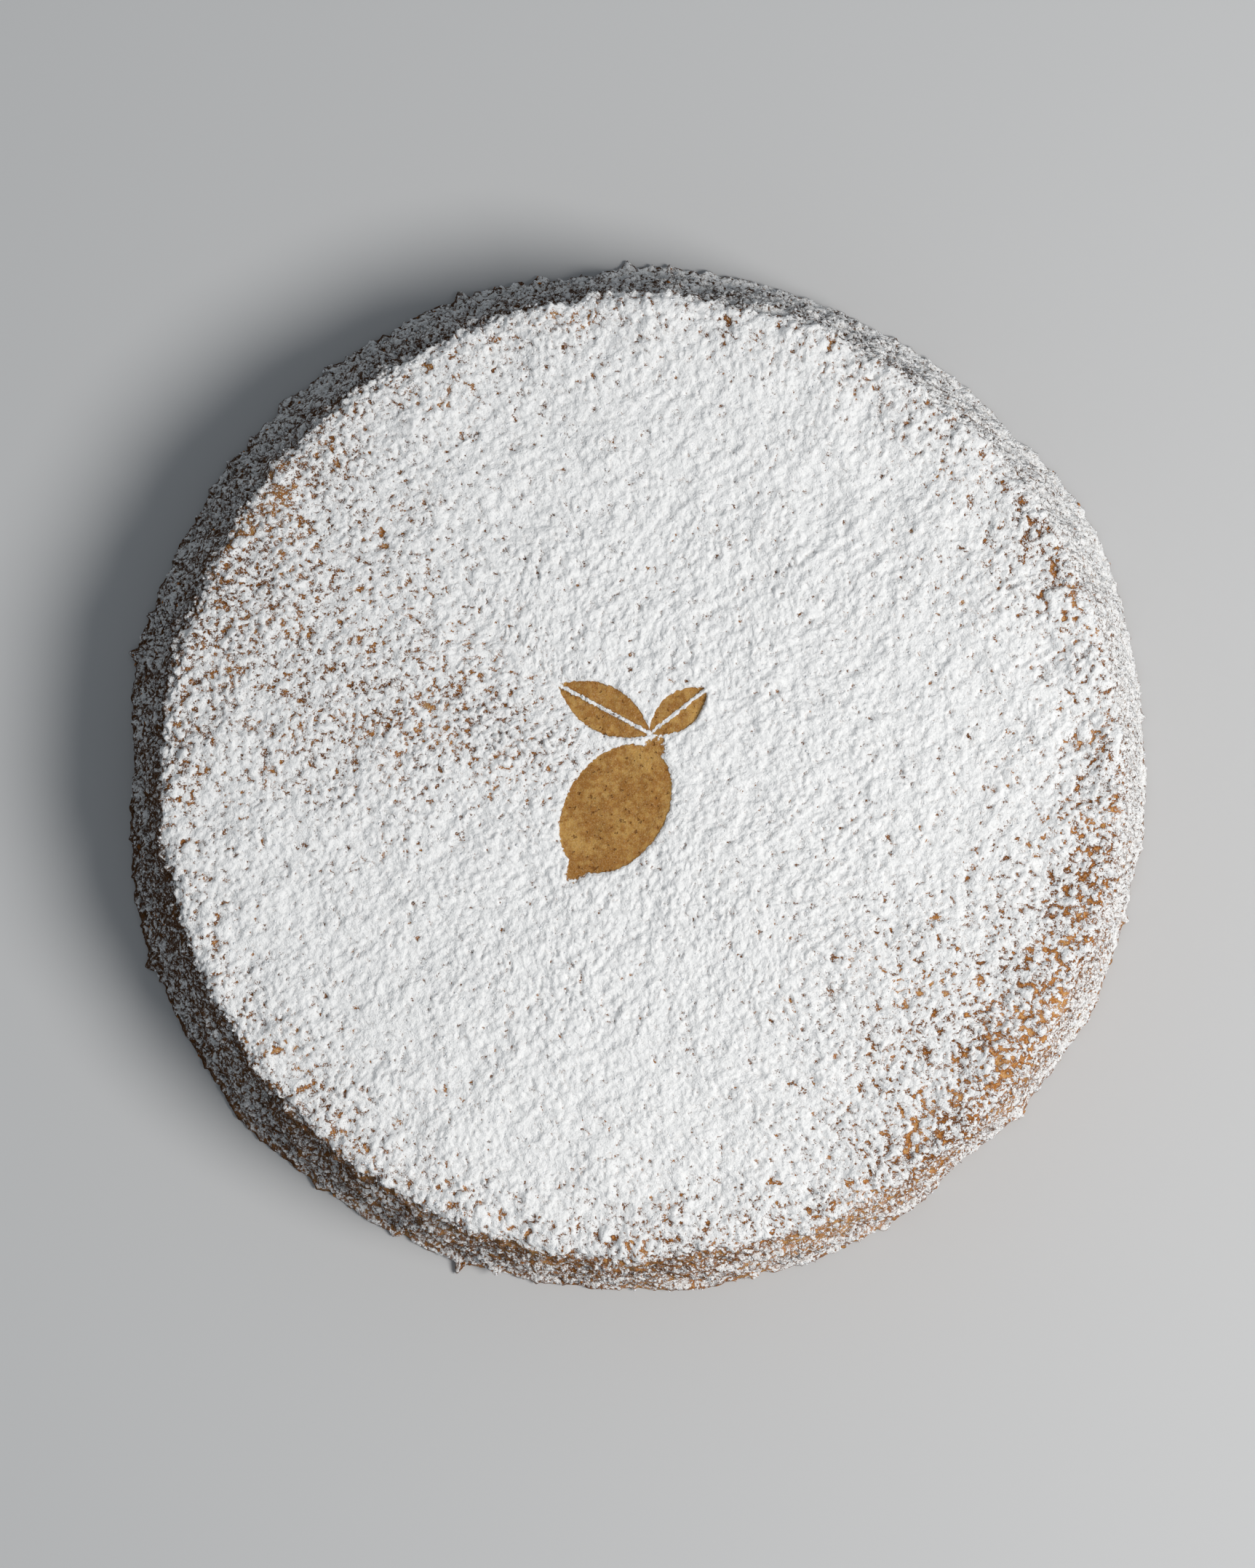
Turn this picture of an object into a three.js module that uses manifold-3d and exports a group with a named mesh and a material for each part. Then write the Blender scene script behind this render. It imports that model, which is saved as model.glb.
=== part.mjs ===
// Lemon almond cake: one round uncut cake, baked in a flared tin and turned out upside down.
// It stands on a thin ragged lip, its top edge is rounded, and its low swells and lumps are those
// of a sugar-dusted crust. A lemon with two leaves is stencilled into the sugar of the top.
// Millimetres, +Z up, origin at the middle of the base.
import * as THREE from 'three';
import { mergeVertices } from 'three/addons/utils/BufferGeometryUtils.js';
import Module from 'manifold-3d';

const wasm = await Module();
wasm.setup();

// Driving dimensions
const height = 45; // base to the middle of the top
const lipRadius = 130; // mean reach of the ragged lip
const footRadius = 127.8; // side wall, just above the lip
const edgeRadius = 118.3; // side wall, where the top edge begins to round over
const edgeRounding = 4.2;

const lip = {
  thickness: 2.2, contactInset: 2, rollIn: 0.8,
  creaseDepth: 0.5, creaseHeight: 3, creaseRough: 0.3, // the groove between the lip and the side
};
const relief = {
  swellLength: 95, swellHeight: 0.45, swellTrains: 5, // slow rise and fall of the whole top
  lumpLength: 17, lumpHeight: 0.45, lumpTrains: 12, // uneven crust of the side and the outer top
  lumpFade: 3, // how fast the lumps die away towards the middle of the top
};
// Ragged outline of the lip: waves with more and more turns, each folded to sharp notches
const jag = { firstCount: 13, ratio: 1.43, terms: 5, reach: 0.9, foldMean: 0.64 };

// Where the foot and its lip bulge or are drawn in: middle and half width in degrees, reach in mm
const bulges = [
  { at: 34, half: 8, reach: 3.2 },
  { at: 100, half: 8, reach: -1.2 },
  { at: 180, half: 9, reach: -2.4 },
  { at: 218, half: 22, reach: 2.5 },
  { at: 291, half: 6, reach: 0.9 },
  { at: 311, half: 6, reach: -1.8 },
];

const footShare = 0.8; // of that reach, what the foot of the side wall takes

// Flakes of crust that stand out of the lip: middle in degrees, reach and width in mm
const flakes = [
  { at: 7, reach: 1.3, width: 3 },
  { at: 36, reach: 1, width: 5 },
  { at: 82, reach: 1.4, width: 3 },
  { at: 91, reach: 2.1, width: 4.5 },
  { at: 101, reach: 2, width: 6 },
  { at: 110, reach: 1.6, width: 4 },
  { at: 133, reach: 1.5, width: 5 },
  { at: 166, reach: 1.8, width: 4 },
  { at: 201, reach: 2, width: 4 },
  { at: 232, reach: 1.4, width: 5 },
  { at: 242, reach: 1.5, width: 4 },
  { at: 250, reach: 3.4, width: 2.6 },
  { at: 299, reach: 1.3, width: 3.5 },
  { at: 319, reach: 1.8, width: 6 },
  { at: 344, reach: 1.7, width: 3 },
];
const flakeBite = 5; // how far a flake runs into the lip
const flakeThickness = 1.6;
const flakeLift = 0.3; // height of its underside
const flakeSides = 6;

// Stencilled fruit and leaves, measured from the middle of the design
const stencil = { x: -7.5, y: -1, depth: 0.8, room: 4 }; // room is what a cutter needs above the top
const fruit = { x: 0.5, y: -6.5, turn: 57, half: 17, width: 12, tipHalf: 20.5, tipWidth: 4.6 };
const leaves = [
  { x: -2.2, y: 17.8, turn: 152, half: 12.4, width: 5.2 },
  { x: 15.8, y: 17.4, turn: 38, half: 8.6, width: 3.9 },
];
const leafRib = 1; // strip of sugar left along the middle of a leaf

// Fineness of the faces
const aroundSteps = 160;
const topSteps = 14;
const topSpread = 1.25; // above 1, the rings of the top lie closer together near its edge
const edgeSteps = 4;
const sideSteps = 6;
const outlineSteps = 26;
const mergeGap = 1e-4; // points closer than this are one

const degree = Math.PI / 180;
const goldenAngle = Math.PI * (3 - Math.sqrt(5));

// Unevenness of about one wavelength in every direction, 1 high on average
function waves(point, length, trains) {
  let sum = 0;
  for (let i = 0; i < trains; i++) {
    const rise = 1 - (2 * i + 1) / trains;
    const flat = Math.sqrt(1 - rise * rise);
    const turn = i * goldenAngle;
    const along = point.x * flat * Math.cos(turn) + point.y * flat * Math.sin(turn) + point.z * rise;
    sum += Math.sin((2 * Math.PI * along) / length + turn * i);
  }
  return sum * Math.sqrt(2 / trains);
}

// How far the foot stands out of its circle at an angle
function bulgeReach(angle) {
  let reach = 0;
  for (const bulge of bulges) {
    const away = Math.atan2(Math.sin(angle - bulge.at * degree), Math.cos(angle - bulge.at * degree));
    reach += bulge.reach * Math.exp(-((away / (bulge.half * degree)) ** 2));
  }
  return reach;
}

// How far the lip reaches at an angle
function lipReach(angle) {
  let reach = lipRadius + bulgeReach(angle);
  for (let i = 0; i < jag.terms; i++) {
    const count = Math.round(jag.firstCount * jag.ratio ** i);
    const fold = Math.abs(Math.sin((count * angle) / 2 + i * i));
    reach += (jag.reach * (jag.foldMean - fold)) / Math.sqrt(i + 1);
  }
  return reach;
}

// Section of the cake at an angle, from the underside up to the middle of the top. Each point has
// the way its surface faces and the share of the lumps that it takes.
function section(angle) {
  const reach = lipReach(angle);
  const foot = footRadius + footShare * bulgeReach(angle);
  const points = [
    { r: reach - lip.contactInset, z: 0, out: 0, up: -1, rough: 0 },
    { r: reach, z: lip.thickness / 2, out: 1, up: 0, rough: 0 },
    { r: reach - lip.rollIn, z: lip.thickness, out: 0, up: 1, rough: 0 },
    { r: foot - lip.creaseDepth, z: lip.creaseHeight, out: 1, up: 0, rough: lip.creaseRough },
  ];
  const slope = Math.atan2(footRadius - edgeRadius, height - edgeRounding - lip.creaseHeight);
  const middle = edgeRadius - edgeRounding * Math.cos(slope);
  const low = lip.creaseHeight + lip.creaseDepth;
  const high = height - edgeRounding + edgeRounding * Math.sin(slope);
  for (let i = 0; i < sideSteps; i++) {
    const share = i / sideSteps;
    const r = foot + (edgeRadius - foot) * share;
    const z = low + (high - low) * share;
    points.push({ r, z, out: Math.cos(slope), up: Math.sin(slope), rough: 1 });
  }
  for (let i = 0; i <= edgeSteps; i++) {
    const tilt = slope + (Math.PI / 2 - slope) * (i / edgeSteps);
    const out = Math.cos(tilt);
    const up = Math.sin(tilt);
    points.push({ r: middle + edgeRounding * out, z: height + edgeRounding * (up - 1), out, up, rough: 1 });
  }
  for (let i = 1; i < topSteps; i++) {
    const share = 1 - (i / topSteps) ** topSpread;
    points.push({ r: middle * share, z: height, out: 0, up: 1, rough: share ** relief.lumpFade });
  }
  return points;
}

// Moves a point of the smooth shape out by the swells and lumps there
function raised(base, out, rough) {
  const lump = rough * waves(base, relief.lumpLength, relief.lumpTrains);
  const swell = Math.max(out.z, 0) * waves(base, relief.swellLength, relief.swellTrains);
  return base.clone().addScaledVector(out, relief.lumpHeight * lump + relief.swellHeight * swell);
}

function cakeBody() {
  const places = [];
  const faces = [];
  const rings = section(0).length;
  for (let i = 0; i < aroundSteps; i++) {
    const angle = (i / aroundSteps) * 2 * Math.PI;
    for (const point of section(angle)) {
      const base = new THREE.Vector3(point.r * Math.cos(angle), point.r * Math.sin(angle), point.z);
      const out = new THREE.Vector3(point.out * Math.cos(angle), point.out * Math.sin(angle), point.up);
      const place = point.z > 0 ? raised(base, out, point.rough) : base;
      places.push(place.x, place.y, place.z);
    }
  }
  const underMiddle = places.length / 3;
  places.push(0, 0, 0);
  const topMiddle = underMiddle + 1;
  const crown = raised(new THREE.Vector3(0, 0, height), new THREE.Vector3(0, 0, 1), 0);
  places.push(crown.x, crown.y, crown.z);
  for (let i = 0; i < aroundSteps; i++) {
    const here = i * rings;
    const next = ((i + 1) % aroundSteps) * rings;
    for (let k = 0; k < rings - 1; k++) {
      faces.push(here + k, next + k, next + k + 1, here + k, next + k + 1, here + k + 1);
    }
    faces.push(underMiddle, next, here);
    faces.push(topMiddle, here + rings - 1, next + rings - 1);
  }
  const geometry = new THREE.BufferGeometry();
  geometry.setAttribute('position', new THREE.Float32BufferAttribute(places, 3));
  geometry.setIndex(faces);
  return geometry;
}

// A thin pointed scrap of crust, lying in the lip and pointing outwards
function flake({ at, reach, width }) {
  const angle = at * degree;
  const geometry = new THREE.ConeGeometry(width / 2, reach + flakeBite, flakeSides);
  geometry.rotateZ(-Math.PI / 2);
  geometry.scale(1, 1, flakeThickness / width);
  geometry.translate(lipReach(angle) + (reach - flakeBite) / 2, 0, flakeLift + flakeThickness / 2);
  geometry.rotateZ(angle);
  return geometry;
}

// Outlines of the stencil, in its own plane
function ovalShape(half, width) {
  const shape = new THREE.Shape();
  shape.absellipse(0, 0, half, width, 0, 2 * Math.PI, false, 0);
  return shape;
}

function halfLeafShape(half, width, side) {
  const shape = new THREE.Shape();
  shape.moveTo(-half, (side * leafRib) / 2);
  shape.quadraticCurveTo(0, side * (2 * width), half, (side * leafRib) / 2);
  shape.closePath();
  return shape;
}

// A cutter for one outline, whose floor follows the top of the cake
function cutter(shape, { x, y, turn }) {
  const geometry = new THREE.ExtrudeGeometry(shape, {
    depth: stencil.room, bevelEnabled: false, curveSegments: outlineSteps, steps: 1,
  });
  geometry.rotateZ(turn * degree);
  geometry.translate(x + stencil.x, y + stencil.y, 0);
  const places = geometry.attributes.position;
  const up = new THREE.Vector3(0, 0, 1);
  for (let i = 0; i < places.count; i++) {
    const base = new THREE.Vector3(places.getX(i), places.getY(i), height);
    const lift = places.getZ(i) > stencil.room / 2 ? stencil.room : -stencil.depth;
    places.setZ(i, raised(base, up, 0).z + lift);
  }
  return geometry;
}

function solid(geometry) {
  const bare = geometry.clone();
  bare.deleteAttribute('normal');
  bare.deleteAttribute('uv');
  const merged = mergeVertices(bare, mergeGap);
  return new wasm.Manifold(new wasm.Mesh({
    numProp: 3,
    vertProperties: new Float32Array(merged.attributes.position.array),
    triVerts: new Uint32Array(merged.index.array),
  }));
}

function geometryOf(body) {
  const { vertProperties, triVerts, numProp } = body.getMesh();
  const places = [];
  for (let i = 0; i < vertProperties.length; i += numProp) {
    places.push(vertProperties[i], vertProperties[i + 1], vertProperties[i + 2]);
  }
  const geometry = new THREE.BufferGeometry();
  geometry.setAttribute('position', new THREE.Float32BufferAttribute(places, 3));
  geometry.setIndex(Array.from(triVerts));
  return geometry;
}

let body = solid(cakeBody());
for (const scrap of flakes) body = body.add(solid(flake(scrap)));
body = body.subtract(solid(cutter(ovalShape(fruit.half, fruit.width), fruit)));
body = body.subtract(solid(cutter(ovalShape(fruit.tipHalf, fruit.tipWidth), fruit)));
for (const leaf of leaves) {
  for (const side of [-1, 1]) {
    body = body.subtract(solid(cutter(halfLeafShape(leaf.half, leaf.width, side), leaf)));
  }
}

const geometry = geometryOf(body);
geometry.computeBoundingBox();
const middle = geometry.boundingBox.getCenter(new THREE.Vector3());
geometry.translate(-middle.x, -middle.y, 0);
geometry.computeVertexNormals();

const sugaredCrust = new THREE.MeshStandardMaterial({ color: 0xe6e3dd, roughness: 0.95, metalness: 0 });
const cake = new THREE.Mesh(geometry, sugaredCrust);
cake.name = 'cake';

const group = new THREE.Group();
group.add(cake);

export default group;
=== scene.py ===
import math

import bmesh
import bpy
import numpy as np
from mathutils import Euler, Matrix, Vector


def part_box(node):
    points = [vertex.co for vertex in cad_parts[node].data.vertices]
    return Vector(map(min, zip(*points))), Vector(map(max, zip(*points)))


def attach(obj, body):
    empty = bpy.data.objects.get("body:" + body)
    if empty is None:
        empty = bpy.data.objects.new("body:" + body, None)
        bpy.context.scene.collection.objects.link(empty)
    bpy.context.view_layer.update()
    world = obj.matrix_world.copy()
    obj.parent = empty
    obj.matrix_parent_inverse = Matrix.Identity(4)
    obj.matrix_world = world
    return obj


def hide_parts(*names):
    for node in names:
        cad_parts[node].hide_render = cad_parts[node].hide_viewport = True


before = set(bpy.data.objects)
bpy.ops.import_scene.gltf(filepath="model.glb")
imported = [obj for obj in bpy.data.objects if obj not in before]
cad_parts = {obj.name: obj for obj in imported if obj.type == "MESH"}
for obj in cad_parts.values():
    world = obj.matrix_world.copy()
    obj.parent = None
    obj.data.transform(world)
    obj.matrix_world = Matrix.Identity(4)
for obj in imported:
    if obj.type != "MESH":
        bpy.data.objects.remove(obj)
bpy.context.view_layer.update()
print("frame loaded")

mm = 0.001  # the shape is worked out in millimetres and built in metres
fullTurn = 2 * math.pi
goldenAngle = math.pi * (3 - math.sqrt(5))
# every noise is turned out of line with the cake's axes, so that none of them shows its grid
noiseTurn = Euler((0.62, 0.47, 0.35))
latticeTurn = np.array(noiseTurn.to_matrix())

cakeForm = {
    "height": 45.0,
    "lipRadius": 130.0,
    "footRadius": 127.8,
    "footShare": 0.8,  # of the lip's bulges, what the foot of the side takes
    "edgeRadius": 118.3,
    "edgeRounding": 4.2,
    "lipThickness": 2.2,
    "lipRollIn": 0.8,
    "creaseDepth": 0.5,
    "creaseHeight": 3.0,
    "swellLength": 95.0,
    "swellHeight": 0.45,
    "swellTrains": 5,
    "lumpLength": 17.0,
    "lumpHeight": 0.45,
    "lumpTrains": 12,
    "lumpFade": 3.0,
}

# ragged outline of the lip: folded waves, then where it bulges or is drawn in (degrees, mm)
lipRagged = {"firstCount": 13, "ratio": 1.43, "terms": 5, "reach": 0.7, "foldMean": 0.64}
lipTorn = [{"length": 4.4, "reach": 0.22}, {"length": 1.7, "reach": 0.1}]  # finer tears in its outline
lipRougher = {"at": 140, "half": 45, "more": 1.3}  # where those tears are deeper
bulges = [
    {"at": 28, "half": 13, "reach": 3.0},
    {"at": 100, "half": 8, "reach": -1.2},
    {"at": 180, "half": 9, "reach": -2.4},
    {"at": 218, "half": 22, "reach": 1.7},
    {"at": 291, "half": 6, "reach": 0.9},
    {"at": 311, "half": 6, "reach": -1.8},
]
# flakes of crust that stand out of the lip: middle in degrees, reach and width in mm
flakes = [
    {"at": 7, "reach": 1.3, "width": 3},
    {"at": 36, "reach": 1, "width": 5},
    {"at": 82, "reach": 1.4, "width": 3},
    {"at": 91, "reach": 2.1, "width": 4.5},
    {"at": 101, "reach": 2, "width": 6},
    {"at": 110, "reach": 1.6, "width": 4},
    {"at": 133, "reach": 1.5, "width": 5},
    {"at": 166, "reach": 1.8, "width": 4},
    {"at": 201, "reach": 2, "width": 4},
    {"at": 232, "reach": 1.4, "width": 5},
    {"at": 242, "reach": 1.5, "width": 4},
    {"at": 250, "reach": 3.4, "width": 2.6},
    {"at": 299, "reach": 1.3, "width": 3.5},
    {"at": 319, "reach": 1.8, "width": 6},
    {"at": 344, "reach": 1.7, "width": 3},
]
# small broken points between them; half is half the width of one, in degrees for each mm
teeth = {"count": 120, "reach": 0.8, "width": 1.6, "half": 0.22, "seed": 11}
lipLess = {"at": 185, "half": 75, "less": 1.2}  # where the sugar is thinner on the lip

# how the crust rises and falls below the sugar: wavelength and height in mm, on the top, round the
# top's edge and on the side
crustGrain = [
    {"length": 8.0, "top": 0.12, "edge": 0.28, "side": 0.36},
    {"length": 4.6, "top": 0.08, "edge": 0.2, "side": 0.4},
    {"length": 2.6, "top": 0.04, "edge": 0.16, "side": 0.34},
    {"length": 1.4, "top": 0.02, "edge": 0.08, "side": 0.16},
]
crustFlat = 1.7  # how many times lower than long the side's lumps and flecks are
# the side's crust has torn in layers: how long and high they are, how far they stand out, how wide
# the stretches are that show them, and how strongly those do
crustLayers = {"long": 16.0, "high": 3.4, "height": 0.62, "patch": 40.0, "torn": 0.6, "tornMost": 1.4}
edgeBand = 7.0  # how far the edge's lumps run in over the top, in mm
# smooth blisters of crust near the top's edge, with a crack round them: sizes in mm
blisters = {
    "count": 60, "nearest": 106, "furthest": 117, "half": 2.4, "long": (0.6, 1.25), "wide": (0.55, 0.9),
    "height": 0.55, "crack": 1.6, "crackAt": 1.08, "crackWidth": 0.6, "seed": 5,
}
flatTop = 0.99  # what faces up more than this is the level top
sideTurn = {"crust": (0.45, 0.95), "sugar": (0.35, 0.9)}  # how far up the edge faces where side becomes top

sugarCoat = {
    "thick": 0.7,
    "soften": 0.9,  # how slowly it thickens away from a bare spot
    "sideThick": 0.5,
    "lean": 0.9,  # on the side it builds up as well as out
    "cover": 2.34,  # higher leaves fewer bare spots
    "rimStart": 96.0,
    "rimEnd": 116.0,
    "rimLess": 1.06,
    "ledge": 0.62,  # how level the crust has to be for sugar to stay on the side
    "ledgeSpan": 0.3,
    "patchy": 0.9,  # how much the top's kind of bare spots shows on the side too
    "footMore": 0.9,  # more of it stays low down on the side than just below the top's edge
}
# the coat's own relief, from slow drifts to soft lumps, and its rounded clumps
sugarDrifts = [
    {"length": 19.0, "height": 0.34},
    {"length": 5.4, "height": 0.17},
    {"length": 2.8, "height": 0.15},
    {"length": 1.6, "height": 0.1},
]
# wind-blown streaks, strong in some places and faint in others
streaks = {
    "turn": 33, "along": 7.5, "across": 3.2, "height": 0.18,
    "patch": 24.0, "uneven": 0.6, "least": 0.2, "most": 2,
}
clumps = {
    "size": 1.8,
    "small": 1.05,  # size of the small ones among them
    "smallShare": 0.45,
    "smallSide": 0.3,  # and how many more of them are on the side
    "height": 0.62,
    "side": 0.85,
    "lip": 0.4,
    "middle": 0.52,
    "spread": 0.2,
    "smooth": 0.14,  # how far they run together where the coat is thick
    "smoothFrom": (1.0, 2.3),
    "smoothBlister": 0.8,
    "smoothSide": 0.7,
    "smoothSideFrom": (0.6, 2.2),
}
clumpBend = {"length": 2.3, "reach": 0.42}  # bends the clumps out of round
# what decides where it stays bare: patchy noise in several sizes and the gaps between clumps
bareShapes = [
    {"length": 11.0, "weight": 0.14},
    {"length": 4.2, "weight": 0.24},
    {"length": 2.1, "weight": 0.42},
    {"length": 1.1, "weight": 0.45},
]
clumpWeight = 1.5
bareScale = math.sqrt(sum(layer["weight"] ** 2 for layer in bareShapes) + clumpWeight**2)
# patches of the top where the sugar is thinner: middle and reach in mm
thinPatches = [
    {"x": 98, "y": -52, "reach": 36, "less": 1.3},
    {"x": 68, "y": -88, "reach": 36, "less": 1.05},
    {"x": 58, "y": -52, "reach": 22, "less": 0.5},
    {"x": 112, "y": -10, "reach": 26, "less": 0.85},
    {"x": 0, "y": -118, "reach": 26, "less": 0.7},
    {"x": -84, "y": -84, "reach": 30, "less": 0.8},
    {"x": -84, "y": 54, "reach": 40, "less": 1.5},
    {"x": -84, "y": 8, "reach": 30, "less": 1.1},
    {"x": -43, "y": 15, "reach": 22, "less": 1.3},
    {"x": -22, "y": 4, "reach": 12, "less": 0.8},
    {"x": -30, "y": 100, "reach": 24, "less": 0.5},
    {"x": 60, "y": 98, "reach": 16, "less": 0.4},
    {"x": 92, "y": 52, "reach": 26, "less": 0.9},
]
# stretches of the side where the sugar is thinner, in degrees
thinSides = [
    {"at": 228, "half": 44, "less": 0.55},
    {"at": 180, "half": 34, "less": 0.4},
    {"at": 288, "half": 36, "less": 0.15},
    {"at": 125, "half": 42, "less": -0.1},
    {"at": 26, "half": 50, "less": -1.6},
]

# how dark the crust is in the cracks of the top and on the side, where the side's darkness is partly its
# own toasting and partly painted shade; how much darker the top is painted towards one side, as painted
# shade away from the lamp; how much lighter the side's ledges are, painted light where they face up; and
# where the side is painted more golden, as painted light on the stretches that face the lamp
crustToneAndShade = {"top": 0.24, "topSpan": 2.5, "turn": 140, "lean": 0.2, "side": 1.25, "ledge": 0.35}
# painted light: the stretches of the side that face the lamp are painted golden
paintedLitSides = [
    {"at": 280, "half": 48, "less": 0.75},
    {"at": 335, "half": 40, "less": 0.6},
    {"at": 30, "half": 40, "less": 0.4},
]

# the stencilled fruit and leaves, measured from the middle of the design
stencil = {"x": -7.5, "y": -1.0, "edge": 0.3, "crumble": 0.16, "crumbleLength": 1.3}
fruit = {"x": 0.5, "y": -6.5, "turn": 57, "half": 17, "width": 12, "tipHalf": 20.5, "tipWidth": 4.6}
leaves = [
    {"x": -2.2, "y": 17.8, "turn": 152, "half": 12.4, "width": 5.2},
    {"x": 15.8, "y": 17.4, "turn": 38, "half": 8.6, "width": 3.9},
]
leafRib = 1.0

# each noise has its own fixed seed, and one that has several layers counts on from it
seeds = {
    "crust": 1, "torn": 8, "layers": 9, "bare": 21, "drifts": 31, "stencil": 40, "streaks": 47,
    "streakPatch": 48, "clumps": 51, "smallClumps": 52, "clumpBend": 54, "lipThickness": 61, "lipTears": 63,
}
# the lattice that the noises are made on: its cells in a wavelength, how far a seed moves it, what
# brings the noise to a spread of about 1, and how far a clump reaches in cells
lattice = {"cells": 1.6, "seedStep": 7.31, "spread": 3.3, "clumpSeedStep": 3.7, "clumpReach": 0.7}
cellMixers, seedMixer, roundMixers = (73856093, 19349663, 83492791), 374761393, (2246822519, 3266489917)
drawBits, drawMost = 10, 1023  # each cell's whole number holds three draws of this size

# how finely the surface is built, in mm or in columns round the cake
fineness = {"row": 0.43, "sideRow": 0.46, "middleCells": 310, "columns": 1860, "wall": 3.0}


def smoothStep(low, high, value):
    share = np.clip((value - low) / (high - low), 0, 1)
    return share * share * (3 - 2 * share)


def waves(points, length, count):
    # unevenness of about one wavelength in every direction, 1 high on average
    total = np.zeros(points.shape[:-1])
    for i in range(count):
        rise = 1 - (2 * i + 1) / count
        flat = math.sqrt(1 - rise * rise)
        turn = i * goldenAngle
        along = points @ np.array([flat * math.cos(turn), flat * math.sin(turn), rise])
        total += np.sin(fullTurn * along / length + turn * i)
    return total * math.sqrt(2 / count)


def cellNumbers(cells, seed):
    # one repeatable random whole number for each cell of a lattice
    n = cells[..., 0] * cellMixers[0] ^ cells[..., 1] * cellMixers[1] ^ cells[..., 2] * cellMixers[2]
    n = (n + seed * seedMixer) & 0xFFFFFFFF
    n = (n ^ (n >> 15)) * roundMixers[0] & 0xFFFFFFFF
    n = (n ^ (n >> 13)) * roundMixers[1] & 0xFFFFFFFF
    return n ^ (n >> 16)


def grain(points, length, seed):
    # lattice noise of one wavelength, with a spread of about 1
    scaled = points @ latticeTurn / length * lattice["cells"] + seed * lattice["seedStep"]
    cells = np.floor(scaled).astype(np.int64)
    inside = scaled - cells
    fade = inside**3 * (inside * (inside * 6 - 15) + 10)
    total = np.zeros(points.shape[:-1])
    for corner in range(8):
        step = np.array([corner & 1, corner >> 1 & 1, corner >> 2 & 1])
        number = cellNumbers(cells + step, seed)
        away = inside - step
        draws = [(number >> drawBits * k & drawMost) / (drawMost / 2) - 1 for k in range(3)]
        push = sum(draw * away[..., k] for k, draw in enumerate(draws))
        share = np.prod(np.where(step == 1, fade, 1 - fade), axis=-1)
        total += share * push
    return total * lattice["spread"]


def domes(points, length, seed):
    # rounded clumps packed against each other: 1 in the middle of one, about 0 between them
    scaled = points @ latticeTurn / length + seed * lattice["clumpSeedStep"]
    cells = np.floor(scaled).astype(np.int64)
    nearest = np.full(points.shape[:-1], 9.0)
    for step in np.ndindex(3, 3, 3):
        cell = cells + np.array(step) - 1
        number = cellNumbers(cell, seed)
        spot = np.stack([(number >> drawBits * k & drawMost) / drawMost for k in range(3)], axis=-1)
        nearest = np.minimum(nearest, ((cell + spot - scaled) ** 2).sum(-1))
    return np.clip(1 - nearest / lattice["clumpReach"], 0, 1)


def flattened(points):
    # noise read here comes out lower than it is long
    return points * np.array([1, 1, crustFlat])


def turned(x, y, turn):
    # the same place, measured along and across a direction
    return x * math.cos(turn) + y * math.sin(turn), y * math.cos(turn) - x * math.sin(turn)


def angleAway(angle, degrees):
    return np.abs(np.angle(np.exp(1j * (angle - math.radians(degrees)))))


def stretchShare(angle, stretch):
    # 1 in the middle of a stretch round the cake, fading out past its half width
    away = angleAway(angle, stretch["at"]) / math.radians(stretch["half"])
    return np.exp(-(away**2))


def toothReach(angle):
    # broken points: each has its own place, reach and width
    draws = np.random.default_rng(teeth["seed"])
    reach = np.zeros_like(angle)
    for _ in range(teeth["count"]):
        at = draws.uniform(0, 360)
        size = draws.uniform(0.25, 1) ** 1.5
        half = math.radians(draws.uniform(0.4, 1) * teeth["width"]) * teeth["half"]
        share = np.clip(1 - angleAway(angle, at) / half, 0, 1)
        reach = np.maximum(reach, teeth["reach"] * size * share**0.7)
    for flake in flakes:
        half = flake["width"] / 2 / cakeForm["lipRadius"]
        share = np.clip(1 - angleAway(angle, flake["at"]) / half, 0, 1)
        reach = np.maximum(reach, flake["reach"] * share**0.8)
    return reach


def bulgeReach(angle):
    return sum(bulge["reach"] * stretchShare(angle, bulge) for bulge in bulges)


def footReach(angle):
    return cakeForm["footRadius"] + cakeForm["footShare"] * bulgeReach(angle)


def lipReach(angle):
    reach = cakeForm["lipRadius"] + bulgeReach(angle)
    for i in range(lipRagged["terms"]):
        count = round(lipRagged["firstCount"] * lipRagged["ratio"] ** i)
        fold = np.abs(np.sin(count * angle / 2 + i * i))
        reach += lipRagged["reach"] * (lipRagged["foldMean"] - fold) / math.sqrt(i + 1)
    return reach


sideSlope = math.atan2(
    cakeForm["footRadius"] - cakeForm["edgeRadius"],
    cakeForm["height"] - cakeForm["edgeRounding"] - cakeForm["creaseHeight"],
)
edgeMiddle = cakeForm["edgeRadius"] - cakeForm["edgeRounding"] * math.cos(sideSlope)
sideTop = cakeForm["height"] - cakeForm["edgeRounding"] * (1 - math.sin(sideSlope))
sideFoot = cakeForm["creaseHeight"] + cakeForm["creaseDepth"]


def around(radius, height, out, up, angle):
    # turns a section into points round the cake and the ways that they face
    across, along = np.cos(angle), np.sin(angle)
    points = np.stack([radius * across, radius * along, height + 0 * angle], axis=-1)
    facing = np.stack([out * across, out * along, up + 0 * angle], axis=-1)
    return points, facing


def inFruit(x, y):
    # distance in mm from the edge of the fruit and its tips, below 0 inside
    along, across = turned(x - fruit["x"], y - fruit["y"], math.radians(fruit["turn"]))
    body = (np.hypot(along / fruit["half"], across / fruit["width"]) - 1) * fruit["width"]
    tips = (np.hypot(along / fruit["tipHalf"], across / fruit["tipWidth"]) - 1) * fruit["tipWidth"]
    return np.minimum(body, tips)


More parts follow.
